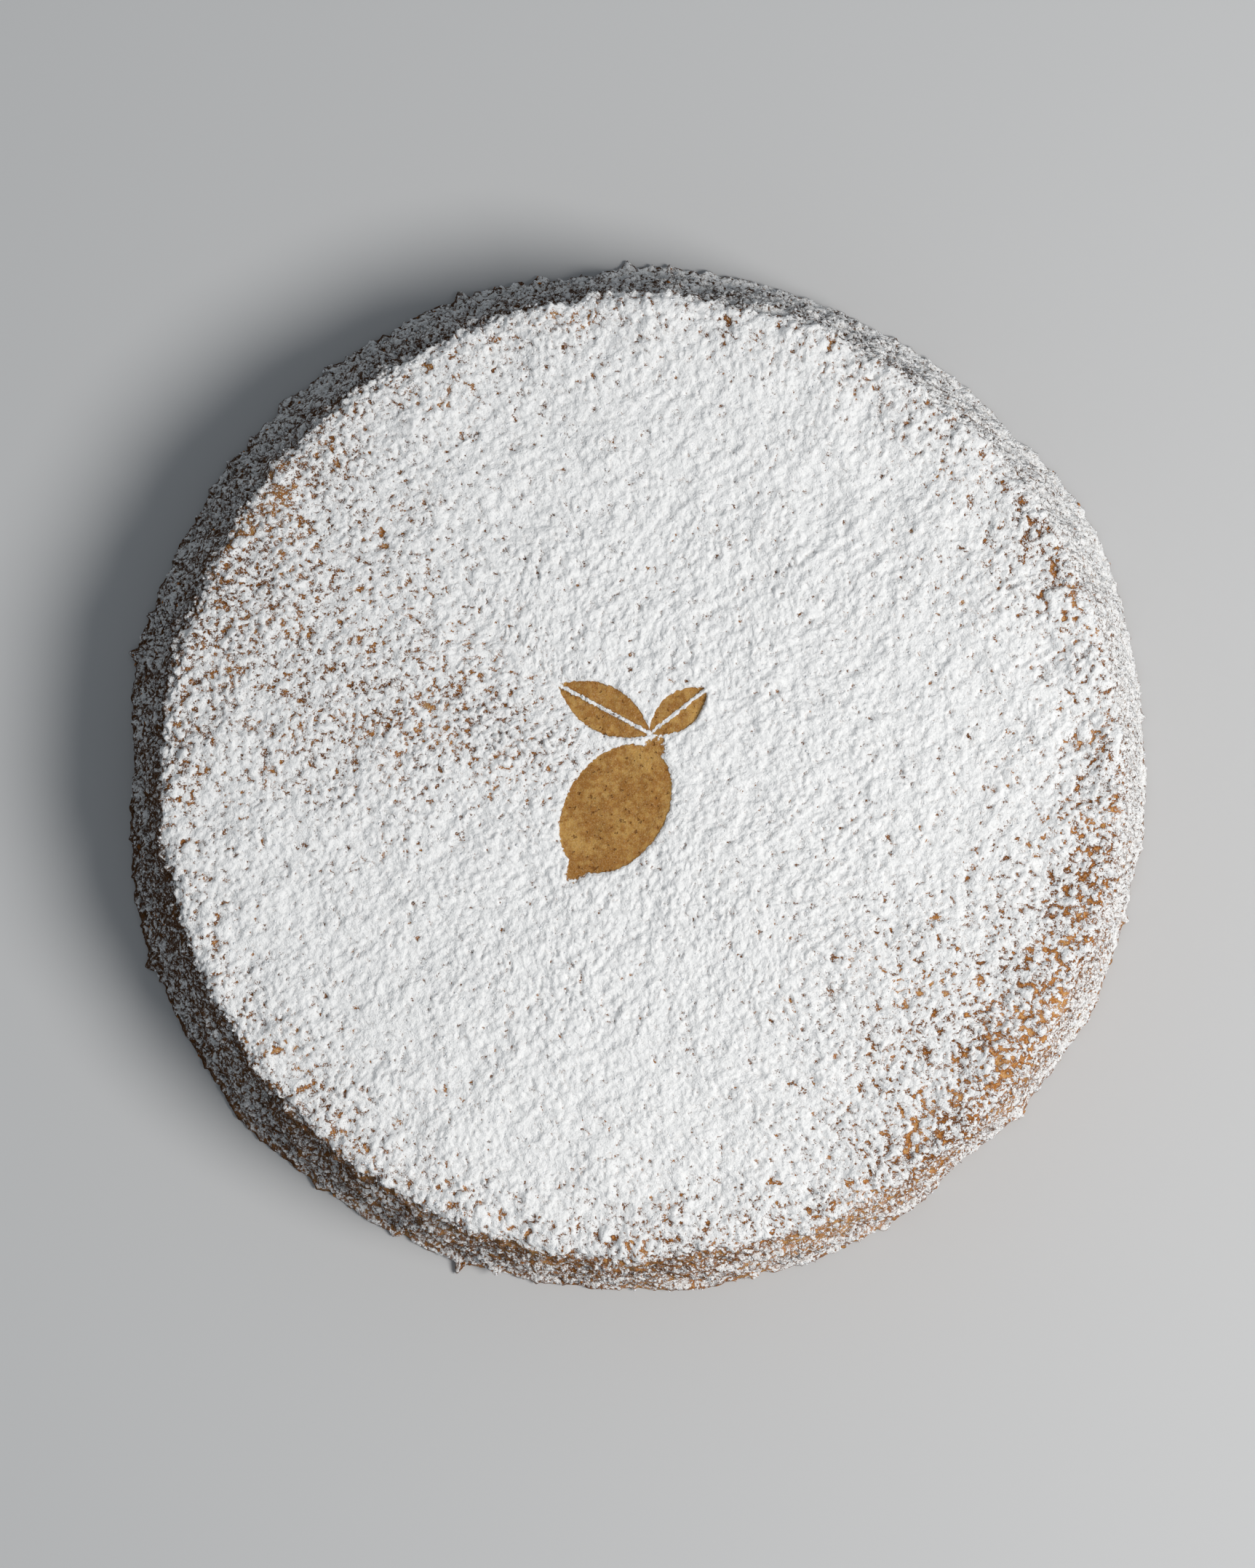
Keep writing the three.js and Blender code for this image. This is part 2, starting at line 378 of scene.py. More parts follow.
def inLeaf(x, y, leaf):
    # the same for a leaf, whose rib stays covered
    along, across = turned(x - leaf["x"], y - leaf["y"], math.radians(leaf["turn"]))
    across = np.abs(across)
    width = leaf["width"] * np.clip(1 - (along / leaf["half"]) ** 2, 0, 1) + leafRib / 2
    blade = np.maximum(across - width, np.abs(along) - leaf["half"])
    return np.maximum(blade, leafRib / 2 - across)


def stencilEdge(points):
    x, y = points[..., 0] - stencil["x"], points[..., 1] - stencil["y"]
    edge = inFruit(x, y)
    for leaf in leaves:
        edge = np.minimum(edge, inLeaf(x, y, leaf))
    return edge


def blisterShare(points):
    # 1 on top of a blister, 0 away from it, and how close its foot is where it is cracked
    draws = np.random.default_rng(blisters["seed"])
    x, y = points[..., 0], points[..., 1]
    raised, cracked = np.zeros(x.shape), np.zeros(x.shape)
    for _ in range(blisters["count"]):
        at = draws.uniform(0, fullTurn)
        radius = draws.uniform(blisters["nearest"], blisters["furthest"])
        long = blisters["half"] * draws.uniform(*blisters["long"])
        wide = long * draws.uniform(*blisters["wide"])
        turn = draws.uniform(0, fullTurn)
        dx, dy = x - radius * math.cos(at), y - radius * math.sin(at)
        near = np.hypot(dx, dy) < 2 * long
        along, across = turned(dx[near], dy[near], turn)
        away = np.hypot(along / long, across / wide)
        raised[near] = np.maximum(raised[near], np.sqrt(np.clip(1 - away**2, 0, 1)))
        foot = np.exp(-(((away - blisters["crackAt"]) * wide / blisters["crackWidth"]) ** 2))
        cracked[near] = np.maximum(cracked[near], foot * np.clip(along / long, 0, 1))
    return raised, cracked


def crustRise(points, facing, rough, low):
    # how far the bare crust stands out of the smooth shape
    upward = facing[..., 2]
    side = np.ones(points.shape[:-1]) if low else 1 - smoothStep(*sideTurn["crust"], upward)
    radius = np.hypot(points[..., 0], points[..., 1])
    inward = np.clip(edgeMiddle - radius, 0, None) * (upward > flatTop)
    edge = np.exp(-((inward / edgeBand) ** 2)) * (1 - side)
    rise = cakeForm["lumpHeight"] * rough * waves(points, cakeForm["lumpLength"], cakeForm["lumpTrains"])
    swell = waves(points, cakeForm["swellLength"], cakeForm["swellTrains"])
    rise += cakeForm["swellHeight"] * np.clip(upward, 0, 1) * swell
    rise += blisters["height"] * blisterShare(points)[0] * (upward > 0.5)
    layered = np.array([crustLayers["long"], crustLayers["long"], crustLayers["high"]])
    patch = crustLayers["torn"] + crustLayers["torn"] * grain(points, crustLayers["patch"], seeds["torn"])
    torn = np.clip(patch, 0, crustLayers["tornMost"])
    rise += side * torn * crustLayers["height"] * grain(points / layered, 1.0, seeds["layers"])
    for seed, layer in enumerate(crustGrain, seeds["crust"]):
        height = layer["top"] * (1 - side - edge) + layer["edge"] * edge + layer["side"] * side
        rise += height * grain(flattened(points), layer["length"], seed)
    return rise


def gridFacing(points, facing, closedRound):
    # the way a built surface really faces, from its neighbours in the grid
    if closedRound:
        along = np.roll(points, -1, axis=1) - np.roll(points, 1, axis=1)
    else:
        along = np.gradient(points, axis=1)
    normal = np.cross(np.gradient(points, axis=0), along)
    normal /= np.linalg.norm(normal, axis=-1, keepdims=True) + 1e-12
    flip = np.sign((normal * facing).sum(-1, keepdims=True))
    return normal * np.where(flip == 0, 1, flip)


def sugarClumps(points, side):
    # clumps of two sizes, bent out of round
    place = flattened(points)
    bend = [grain(place, clumpBend["length"], seeds["clumpBend"] + axis) for axis in range(3)]
    bent = place + clumpBend["reach"] * np.stack(bend, axis=-1)
    small = clumps["smallShare"] + clumps["smallSide"] * side
    large = domes(bent, clumps["size"], seeds["clumps"]) * (1 - small)
    return large + domes(bent, clumps["small"], seeds["smallClumps"]) * small


def bareNoise(points, clump):
    # what the cover is added to: the crust is bare where their sum is below 0
    bare = clumpWeight * ((clump - clumps["middle"]) / clumps["spread"])
    for seed, layer in enumerate(bareShapes, seeds["bare"]):
        bare += layer["weight"] * grain(flattened(points), layer["length"], seed)
    return bare / bareScale


def topCover(points, radius, raised, cracked):
    # how well the top is covered: less near its edge, in the thin patches and round the blisters
    rim = smoothStep(sugarCoat["rimStart"], sugarCoat["rimEnd"], radius)
    cover = sugarCoat["cover"] - sugarCoat["rimLess"] * rim
    for patch in thinPatches:
        dx, dy = points[..., 0] - patch["x"], points[..., 1] - patch["y"]
        cover = cover - patch["less"] * np.exp(-(dx**2 + dy**2) / patch["reach"] ** 2)
    return cover + raised - blisters["crack"] * cracked


def sideCover(points, normal, bare, angle):
    # how deep the sugar is on the side, where it stays on what is level enough
    depth = (normal[..., 2] - sugarCoat["ledge"]) / sugarCoat["ledgeSpan"] + sugarCoat["patchy"] * bare
    height = (points[..., 2] - sideFoot) / (sideTop - sideFoot)
    depth += sugarCoat["footMore"] * (0.5 - np.clip(height, 0, 1))
    for stretch in thinSides:
        depth = depth - stretch["less"] * stretchShare(angle, stretch)
    return depth


def driftRise(points, side, lumps):
    # adds the coat's drifts and streaks to its clumps
    for seed, layer in enumerate(sugarDrifts, seeds["drifts"]):
        lumps += layer["height"] * grain(points, layer["length"], seed)
    along, across = turned(points[..., 0], points[..., 1], math.radians(streaks["turn"]))
    drawn = np.stack([along / streaks["along"], across / streaks["across"], 0 * along], axis=-1)
    strength = 1 + streaks["uneven"] * grain(points, streaks["patch"], seeds["streakPatch"])
    strength = np.clip(strength, streaks["least"], streaks["most"])
    return lumps + streaks["height"] * strength * (1 - side) * grain(drawn, 1.0, seeds["streaks"])


def crustDarkAndShade(points, normal, side, angle, edge):
    # 0 where the crust is golden, 1 where it is darkest; the side's darkness is partly its own toasting and
    # partly painted shade, the top is painted darker towards one side as painted shade, and the side's
    # ledges and the stretches that face the lamp are painted lighter as painted light
    darkAndShade = crustToneAndShade["side"] - crustToneAndShade["ledge"] * np.clip(normal[..., 2], 0, 1)
    for stretch in paintedLitSides:
        darkAndShade = darkAndShade - stretch["less"] * stretchShare(angle, stretch)
    toward = turned(points[..., 0], points[..., 1], math.radians(crustToneAndShade["turn"]))[0]
    toward /= cakeForm["edgeRadius"]
    topTone = (crustToneAndShade["top"] + crustToneAndShade["lean"] * toward) * smoothStep(0, crustToneAndShade["topSpan"], edge)
    return darkAndShade * side + topTone * (1 - side)


def dressed(points, facing, rough, closedRound, low=False):
    # adds the crust and the sugar, and tells how deep the sugar is and how dark the crust is, its painted
    # shade and painted light included
    crust = points + facing * crustRise(points, facing, rough, low)[..., None]
    normal = gridFacing(crust, facing, closedRound)
    angle = np.arctan2(points[..., 1], points[..., 0])
    radius = np.hypot(points[..., 0], points[..., 1])
    side = np.ones_like(radius) if low else 1 - smoothStep(*sideTurn["sugar"], facing[..., 2])

    clump = sugarClumps(points, side)
    bare = bareNoise(points, clump)
    raised, cracked = blisterShare(points)
    cover = topCover(points, radius, raised, cracked)
    sideDepth = sideCover(points, normal, bare, angle)
    covered = (bare + cover) * (1 - side) + sideDepth * side
    if low:
        covered -= lipLess["less"] * stretchShare(angle, lipLess)
    crumble = grain(points, stencil["crumbleLength"], seeds["stencil"])
    edge = stencilEdge(points) + stencil["crumble"] * crumble
    inside = np.minimum(covered, edge / stencil["edge"])
    depth = np.where(facing[..., 2] > flatTop, inside, covered)

    fill = 1 - np.exp(-np.clip(depth, 0, None) / sugarCoat["soften"])
    thick = (sugarCoat["thick"] * (1 - side) + sugarCoat["sideThick"] * side) * fill
    # where the coat is thick its clumps run together
    merged = clumps["smooth"] * smoothStep(*clumps["smoothFrom"], cover)
    merged = np.maximum(merged, clumps["smoothBlister"] * raised) * (1 - side)
    merged = merged + side * clumps["smoothSide"] * smoothStep(*clumps["smoothSideFrom"], sideDepth)
    tall = clumps["lip"] if low else clumps["height"] * (1 - side) + clumps["side"] * side
    lumps = driftRise(points, side, tall * (clump - clumps["middle"]) * (1 - merged))
    grow = facing + np.array([0, 0, sugarCoat["lean"]]) * side[..., None]
    grow /= np.linalg.norm(grow, axis=-1, keepdims=True)
    built = crust + grow * (thick + lumps * fill)[..., None]
    darkAndShade = crustDarkAndShade(points, normal, side, angle, edge)
    return built, {"sugar": covered, "side": side, "darkAndShade": darkAndShade, "stencil": np.clip(edge, -2, 2)}


def addMesh(name, points, quads, triangles, uv, values, sharpRows):
    mesh = bpy.data.meshes.new(name)
    mesh.vertices.add(len(points))
    mesh.vertices.foreach_set("co", (points * mm).astype(np.float32).ravel())
    corners = np.concatenate([quads.ravel(), triangles.ravel()])
    starts = np.concatenate([np.arange(len(quads)) * 4, len(quads) * 4 + np.arange(len(triangles)) * 3])
    mesh.loops.add(len(corners))
    mesh.loops.foreach_set("vertex_index", corners.astype(np.int32))
    mesh.polygons.add(len(starts))
    mesh.polygons.foreach_set("loop_start", starts.astype(np.int32))
    mesh.polygons.foreach_set("use_smooth", np.ones(len(starts), bool))
    mesh.update(calc_edges=True)
    for key, value in values.items():
        attribute = mesh.attributes.new(key, "FLOAT", "POINT")
        attribute.data.foreach_set("value", value.astype(np.float32).ravel())
    mesh.uv_layers.new(name="OFBake")
    mesh.uv_layers["OFBake"].uv.foreach_set("vector", uv.astype(np.float32).ravel())
    # the hidden walls don't soften the shading of the surface that shows
    ends = np.empty(len(mesh.edges) * 2, np.int32)
    mesh.edges.foreach_get("vertices", ends)
    inRow = np.zeros(len(points), bool)
    inRow[sharpRows] = True
    sharp = mesh.attributes.new("sharp_edge", "BOOLEAN", "EDGE")
    sharp.data.foreach_set("value", inRow[ends.reshape(-1, 2)].all(1))
    piece = bpy.data.objects.new(name, mesh)
    bpy.context.scene.collection.objects.link(piece)
    return piece


def ringQuads(rows, columns, wrapRows):
    # faces of a grid that is closed round the cake, and over its rows too if it wraps
    lastRow = rows if wrapRows else rows - 1
    row, column = np.meshgrid(np.arange(lastRow), np.arange(columns), indexing="ij")
    here, above = row * columns, (row + 1) % rows * columns
    following = (column + 1) % columns
    return np.stack([here + column, here + following, above + following, above + column], -1)


def insideMap(share):
    # keeps clear of the map's left and right edges
    return share * 0.98 + 0.01


def stripUv(rows, columns, strips, wrapRows):
    # the surface goes in stacked strips, and the hidden walls in a thin band at the top
    lastRow = rows if wrapRows else rows - 1
    shown = rows - 3 if wrapRows else lastRow
    row, column = np.meshgrid(np.arange(lastRow), np.arange(columns), indexing="ij")
    perStrip = math.ceil(columns / strips)
    left = (column % perStrip) / perStrip
    right = left + 1 / perStrip
    upRow = np.stack([row, row, row + 1, row + 1], -1)
    v = ((column // perStrip)[..., None] + 0.02 + 0.96 * upRow / shown) / strips * 0.96
    band = 0.965 + 0.03 * (upRow - shown) / 3
    whole = np.stack([column, column + 1, column + 1, column], -1) / columns
    hidden = (row >= shown)[..., None]
    u = insideMap(np.where(hidden, whole, np.stack([left, right, right, left], -1)))
    return np.stack([u, np.where(hidden, band, v)], -1).reshape(-1, 2)


def ringPiece(name, radius, height, out, up, rough, columns, strips):
    # a closed band of the cake's surface: its shown rows, then two hidden rows inside the cake
    angle = np.arange(columns) / columns * fullTurn
    spread = [np.broadcast_to(a if a.ndim == 2 else a[:, None], (len(height), columns))
              for a in (radius, height, out, up, rough)]
    points, facing = around(*spread[:4], angle[None, :])
    built, values = dressed(points, facing, spread[4], True)
    inner = built[[-1, 0]] - facing[[-1, 0]] * fineness["wall"]
    rows = len(height) + 2
    grid = np.concatenate([built, inner])
    quads = ringQuads(rows, columns, True).reshape(-1, 4)
    values = {key: np.concatenate([value, value[[-1, 0]]]) for key, value in values.items()}
    sharpRows = np.r_[0:columns, (len(height) - 1) * columns : len(height) * columns]
    uv = stripUv(rows, columns, strips, True).reshape(-1, 4, 2)[:, ::-1]
    none = np.zeros((0, 3), int)
    return addMesh(name, grid.reshape(-1, 3), quads[:, ::-1], none, uv, values, sharpRows)


def discPiece(name, radius, cells):
    # the middle of the top: a square grid drawn out to a round one, so that it has no pole
    line = np.linspace(-1, 1, cells + 1)
    a, b = np.meshgrid(line, line, indexing="ij")
    wide = np.abs(a) >= np.abs(b)
    reach = np.where(wide, a, b)
    safe = np.where(reach == 0, 1, reach)
    turn = np.where(wide, math.pi / 4 * b / safe, math.pi / 2 - math.pi / 4 * a / safe)
    x, y = reach * np.cos(turn) * radius, reach * np.sin(turn) * radius
    points = np.stack([x, y, np.full_like(x, cakeForm["height"])], -1)
    facing = np.zeros_like(points)
    facing[..., 2] = 1
    rough = (np.hypot(x, y) / edgeMiddle) ** cakeForm["lumpFade"]
    built, values = dressed(points, facing, rough, False)
    size = cells + 1
    i, j = np.meshgrid(np.arange(cells), np.arange(cells), indexing="ij")
    first = i * size + j
    quads = np.stack([first, first + size, first + size + 1, first + 1], -1).reshape(-1, 4)
    border = np.concatenate([
        np.arange(size - 1) * size,
        (size - 1) * size + np.arange(size - 1),
        np.arange(size - 1, 0, -1) * size + size - 1,
        np.arange(size - 1, 0, -1),
    ])
    flat = built.reshape(-1, 3)
    low = flat[border] - np.array([0, 0, fineness["wall"]])
    count, ring = len(flat), len(border)
    middle = np.array([[0, 0, low[:, 2].mean()]])
    below = count + np.arange(ring)
    following = np.roll(np.arange(ring), -1)
    walls = np.stack([border, below, count + following, border[following]], -1)
    floor = np.stack([below, np.full(ring, count + ring), count + following], -1)
    grid = np.concatenate([flat, low, middle])
    values = {key: np.concatenate([value.ravel(), np.zeros(ring + 1)]) for key, value in values.items()}
    # the top fills the map, with its walls and its hidden floor in two thin bands below it
    place = np.stack([x, y], -1).reshape(-1, 2) / radius * 0.47 + 0.5
    left = np.arange(ring) / ring
    right = left + 1 / ring
    wallUv = np.stack([insideMap(np.stack([left, left, right, right], -1)), np.full((ring, 4), 0.001)], -1)
    wallUv[:, [0, 3], 1] = 0.004
    floorUv = np.stack([insideMap(np.stack([left, left, right], -1)), np.full((ring, 3), 0.006)], -1)
    floorUv[:, 1, 1] = 0.009
    uv = np.concatenate([part.reshape(-1, 2) for part in (place[quads], wallUv, floorUv)])
    return addMesh(name, grid, np.concatenate([quads, walls]), floor, uv, values, border)


# the lip's section, from the underside out and up: how far in from its reach, how high in shares of
# the lip's thickness and of its lift off the table, and the way that it faces
lipSection = [
    {"in": 6, "thick": 0, "lift": 0, "out": 0, "up": -1},
    {"in": 2, "thick": 0, "lift": 0, "out": 0, "up": -1},
    {"in": 0.9, "thick": 0, "lift": 0.5, "out": 0.3, "up": -0.95},
    {"in": 0.25, "thick": 0.15, "lift": 1, "out": 0.9, "up": -0.4},
    {"in": 0, "thick": 0.5, "lift": 0, "out": 1, "up": 0},
    {"in": 0.2, "thick": 0.8, "lift": 0, "out": 0.85, "up": 0.5},
    {"in": cakeForm["lipRollIn"], "thick": 1, "lift": 0, "out": 0.3, "up": 0.95},
]
# how its thickness and lift vary, the rows of the groove above it, and how much of the crust's relief
# the rows near its edge and the first rows above them take
lipBuild = {
    "uneven": 0.28, "unevenLength": 9.0, "toothThinner": 0.35, "lift": 0.12, "toothLift": 0.25,
    "grooveRows": 8, "edgeRelief": 0.2, "grooveRelief": 0.3,
}


def lipRows(angle):
    # radius, height and facing of each row, from the underside up to the foot of the side
    tooth = toothReach(angle)
    ring = np.stack([np.cos(angle), np.sin(angle), 0 * angle], -1) * cakeForm["lipRadius"]
    reach = lipReach(angle) + tooth
    rougher = 1 + lipRougher["more"] * stretchShare(angle, lipRougher)
    for seed, tear in enumerate(lipTorn, seeds["lipTears"]):
        reach = reach + tear["reach"] * rougher * grain(ring, tear["length"], seed)
    uneven = 1 + lipBuild["uneven"] * grain(ring, lipBuild["unevenLength"], seeds["lipThickness"])
    thick = cakeForm["lipThickness"] * uneven * (1 - lipBuild["toothThinner"] * np.clip(tooth / 2, 0, 1))
    lift = lipBuild["lift"] + lipBuild["toothLift"] * np.clip(tooth, 0, 1)
    foot = footReach(angle)
    inward = foot - cakeForm["creaseDepth"]
    rows = [(reach - s["in"], s["thick"] * thick + s["lift"] * lift, s["out"], s["up"]) for s in lipSection]
    for i in range(1, lipBuild["grooveRows"] + 1):
        share = i / lipBuild["grooveRows"]
        radius = (reach - cakeForm["lipRollIn"]) * (1 - share) + inward * share
        height = thick * (1 - share) + cakeForm["creaseHeight"] * share
        rows.append((radius, height, 0.3 + 0.4 * share, 0.95 - 0.25 * share))
    rows.append((foot, 0 * angle + sideFoot, math.cos(sideSlope), math.sin(sideSlope)))
    return [np.stack([0 * angle + row[k] for row in rows]) for k in range(4)]


def lipPiece(name, columns, strips):
    # the ragged lip, the groove above it and the flat underside, closed inside the cake
    angle = np.arange(columns) / columns * fullTurn
    points, facing = around(*lipRows(angle), angle)
    facing /= np.linalg.norm(facing, axis=-1, keepdims=True)
    rough = np.zeros(points.shape[:2])
    rough[-1] = 1.0
    built, values = dressed(points, facing, rough, True, True)
    rows = len(points)
    relief = np.zeros(rows)
    relief[2:5] = lipBuild["edgeRelief"]
    relief[5:] = np.linspace(lipBuild["grooveRelief"], 1, rows - 5)
    built = points + (built - points) * relief[:, None, None]
    built[..., 2] = np.maximum(built[..., 2], 0)
    values["sugar"][:3] = -2  # none on the underside
    count = rows * columns
    grid = np.concatenate([built.reshape(-1, 3), [[0, 0, 0], [0, 0, sideFoot]]])
    quads = ringQuads(rows, columns, False).reshape(-1, 4)
    column = np.arange(columns)
    following = (column + 1) % columns
    last = (rows - 1) * columns
    under = np.stack([column, following, np.full(columns, count)], -1)
    over = np.stack([last + following, last + column, np.full(columns, count + 1)], -1)
    fans = np.concatenate([under[:, ::-1], over[:, ::-1]])
    values = {key: np.concatenate([value.ravel(), [-2, -2]]) for key, value in values.items()}
    uv = stripUv(rows, columns, strips, False).reshape(-1, 4, 2) * np.array([1, 0.6])
    # the two fans are discs above the strips
    circle = np.stack([np.cos(angle), np.sin(angle)], -1) * 0.19
    fanUv = []
    for centre, ends in ((0.25, (column, following)), (0.75, (following, column))):
        middle = np.array([centre, 0.8])
        corners = [circle[ends[0]] + middle, circle[ends[1]] + middle, np.broadcast_to(middle, circle.shape)]
        fanUv.append(np.stack(corners, 1)[:, ::-1].reshape(-1, 2))
    uv = np.concatenate([uv[:, ::-1].reshape(-1, 2), *fanUv])
    sharpRows = np.r_[columns : 2 * columns, last : last + columns]
    return addMesh(name, grid, quads[:, ::-1], fans, uv, values, sharpRows)


print("building the cake's surface")
middleReach, outerReach = 60.0, 93.0
middleColumns = fineness["middleCells"] * 4
topCentre = discPiece("cakeTopCentre", middleReach, fineness["middleCells"])


def topRing(name, start, end, columns, strips):
    radius = np.linspace(end, start, round((end - start) / fineness["row"]) + 1)
    flat = np.zeros_like(radius)
    rough = (radius / edgeMiddle) ** cakeForm["lumpFade"]
    return ringPiece(name, radius, flat + cakeForm["height"], flat, flat + 1, rough, columns, strips)


topMiddle = topRing("cakeTopMiddle", middleReach, outerReach, middleColumns, 4)
topOuter = topRing("cakeTopOuter", outerReach, edgeMiddle, fineness["columns"], 6)

# the side and the rounded edge above it, as rows from the foot up
arcRows = round(cakeForm["edgeRounding"] * (math.pi / 2 - sideSlope) / fineness["row"])
tilt = np.linspace(sideSlope, math.pi / 2, arcRows + 1)
arcRadius = edgeMiddle + cakeForm["edgeRounding"] * np.cos(tilt)
arcHeight = cakeForm["height"] + cakeForm["edgeRounding"] * (np.sin(tilt) - 1)
sideLength = math.hypot(cakeForm["footRadius"] - cakeForm["edgeRadius"], sideTop - sideFoot)
sideRows = round(sideLength / fineness["sideRow"])
share = np.linspace(0, 1, sideRows + 1)[:-1]
turns = np.arange(fineness["columns"]) / fineness["columns"] * fullTurn
foot = footReach(turns)[None, :]
sideSection = [
    np.concatenate([foot + (cakeForm["edgeRadius"] - foot) * share[:, None], arcRadius[:, None] + 0 * foot]),
    np.concatenate([sideFoot + (sideTop - sideFoot) * share, arcHeight]),
    np.cos(np.concatenate([np.full(sideRows, sideSlope), tilt])),
    np.sin(np.concatenate([np.full(sideRows, sideSlope), tilt])),
    np.ones(sideRows + arcRows + 1),
]
split = (sideRows + arcRows) // 2
shoulder, lowerSide = (
    ringPiece(name, *(part[rows] for part in sideSection), fineness["columns"], 6)
    for name, rows in (("cakeShoulder", slice(split, None)), ("cakeSide", slice(split + 1)))
)
lip = lipPiece("cakeLip", fineness["columns"], 4)
surfacePieces = [topCentre, topMiddle, topOuter, shoulder, lowerSide, lip]
print("surface faces:", [len(piece.data.polygons) for piece in surfacePieces])

# the built cake is put over the middle of the frame's solid
corners = np.array([corner[:] for piece in surfacePieces for corner in piece.bound_box])
built = (corners.min(0) + corners.max(0)) / 2
low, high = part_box("cake")
shift = Vector(((low.x + high.x) / 2 - built[0], (low.y + high.y) / 2 - built[1], 0))
for piece in surfacePieces:
    piece.data.transform(Matrix.Translation(shift))
print("moved by", [round(v / mm, 2) for v in shift], "mm")


class Value:
    # one socket of a node tree; sums and products on it add the Math nodes
    def __init__(self, graph, socket):
        self.graph = graph
        self.socket = socket

    def maths(self, operation, *values):
        return self.graph.add("ShaderNodeMath", {"operation": operation}, dict(enumerate(values)))

    def __add__(self, other):
        return self.maths("ADD", self, other)

    def __mul__(self, other):
        return self.maths("MULTIPLY", self, other)

    def __sub__(self, other):
        return self.maths("SUBTRACT", self, other)

    def __rsub__(self, other):
        return self.maths("SUBTRACT", other, self)

    def __truediv__(self, other):
        return self.maths("DIVIDE", self, other)

    def clamped(self):
        return self.graph.add("ShaderNodeClamp", {}, {"Value": self})

    def output(self, name):
        # another output of the node that this one comes from
        return Value(self.graph, self.socket.node.outputs[name])


class Graph:
    def __init__(self, tree):
        self.tree = tree

    def add(self, kind, settings, values, output=0):
        node = self.tree.nodes.new(kind)
        for key, setting in settings.items():
            if key == "stops":
                for i, (place, colour) in enumerate(setting):
                    stop = node.color_ramp.elements[i] if i < 2 else node.color_ramp.elements.new(place)
                    stop.position, stop.color = place, colour
            else:
                setattr(node, key, setting)
        for key, value in values.items():
            if isinstance(value, Value):
                self.tree.links.new(value.socket, node.inputs[key])
            else:
                node.inputs[key].default_value = value
        return Value(self, node.outputs[output] if node.outputs else None)

    def noise(self, place, length, detail=2.0, rough=0.55):
        # a noise of about one wavelength, given in mm
        values = {"Vector": place, "Scale": 1000 / length, "Detail": detail, "Roughness": rough}
        return self.add("ShaderNodeTexNoise", {}, values)

    def weigh(self, noises, weights):
        # adds up how far each noise is past its middle, times how steeply it counts
        parts = [(noises[key] - middle) * steep for key, (middle, steep) in weights.items()]
        return sum(parts[1:], parts[0])

    def mix(self, share, first, second):
        return self.add("ShaderNodeMix", {"data_type": "RGBA"}, {0: share, 6: first, 7: second}, 2)


def newMaterial(name):
    material = bpy.data.materials.new(name)
    material.use_nodes = True
    material.node_tree.nodes.clear()
    return material, Graph(material.node_tree)


def finishMaterial(graph, values):
    shader = graph.add("ShaderNodeBsdfPrincipled", {}, values)
    graph.add("ShaderNodeOutputMaterial", {}, {"Surface": shader})


crustLook = {
    "gold": (0.54, 0.31, 0.092, 1),  # inside the stencil
    "toasted": (0.33, 0.15, 0.036, 1),
    # painted glint: the pale colour that stands in for fine highlights
    "paintedGlint": (0.72, 0.52, 0.28, 1),
    "pale": (0.66, 0.37, 0.14, 1),  # in the cracks and on the side
    "amber": (0.47, 0.185, 0.045, 1),
    "brown": (0.17, 0.06, 0.014, 1),
    # the darkest crust: its own toasted brown, deepened as painted shade
    "darkAndShade": (0.075, 0.033, 0.013, 1),
    "toasting": 0.4,
    # how much the painted glints show, and how dark the pores are painted as painted shade
    "paintedGlints": 0.4,
    "pores": 0.7,
    "rimShade": 0.34,  # painted shade: how much darker a bare spot is painted close to its sugar
    "dust": 1.1,  # how much stray sugar lies in the cracks of the top
    "dustEverywhere": 0.08,
    "dustLeast": 0.03,
    "crumbHeight": 0.36,
    "poreDepth": 0.3,
    "rough": 0.8,
}
sugarLook = {
    "white": (0.915, 0.912, 0.905, 1),
    # painted shade: the grey-blue that the sugar is painted in its hollows and between its grains
    "hollowShade": (0.58, 0.588, 0.6, 1),
    "pitCrustAndShade": (0.44, 0.39, 0.34, 1),  # between the side's grains of sugar: partly the crust showing through, partly painted shade
    "soft": 0.75,  # how wide the change from crust to sugar is
    "softSide": 0.9,  # and how much wider on the side
    "veil": 0.2,  # what shows through the thinnest sugar
    "veilSide": 0.2,  # and how much more of it on the side
    "veilDepth": 1.6,  # how deep the sugar has to be to hide the crust
    "ragged": 1.3,
    "raggedSide": 0.35,
    "fineRagged": 4.0,
    "fineSide": 1.0,  # how much less of the finest raggedness is on the side
    "grainSize": 1.15,
    "grainGap": 1.7,
    "grainBend": 0.0012,
    "bendScale": 900.0,
    "grainHeight": 0.1,
    "grainSide": 0.15,  # and how much rounder its grains are on the side
    "powderHeight": 0.5,
    "fineHeight": 0.15,
    "rougher": 0.15,
    "specular": 0.02,
}
stencilCrisp = {"ragged": 0.5, "sharp": 8}  # the colour's own edge round the fruit and leaves
# the noises that the looks follow: wavelength in mm, detail and roughness; the first are flattened
flatMarks = {"coarse": (1.3, 2, 0.55), "fine": (0.42, 2, 0.6)}
evenMarks = {
    "patch": (12, 3, 0.55), "spot": (1.6, 3, 0.55), "powder": (1.1, 4, 0.66), "crumb": (0.6, 3, 0.7),
    "dust": (0.48, 2, 0.55), "specks": (0.42, 2, 0.6), "paintedGlint": (0.34, 2, 0.7),
}
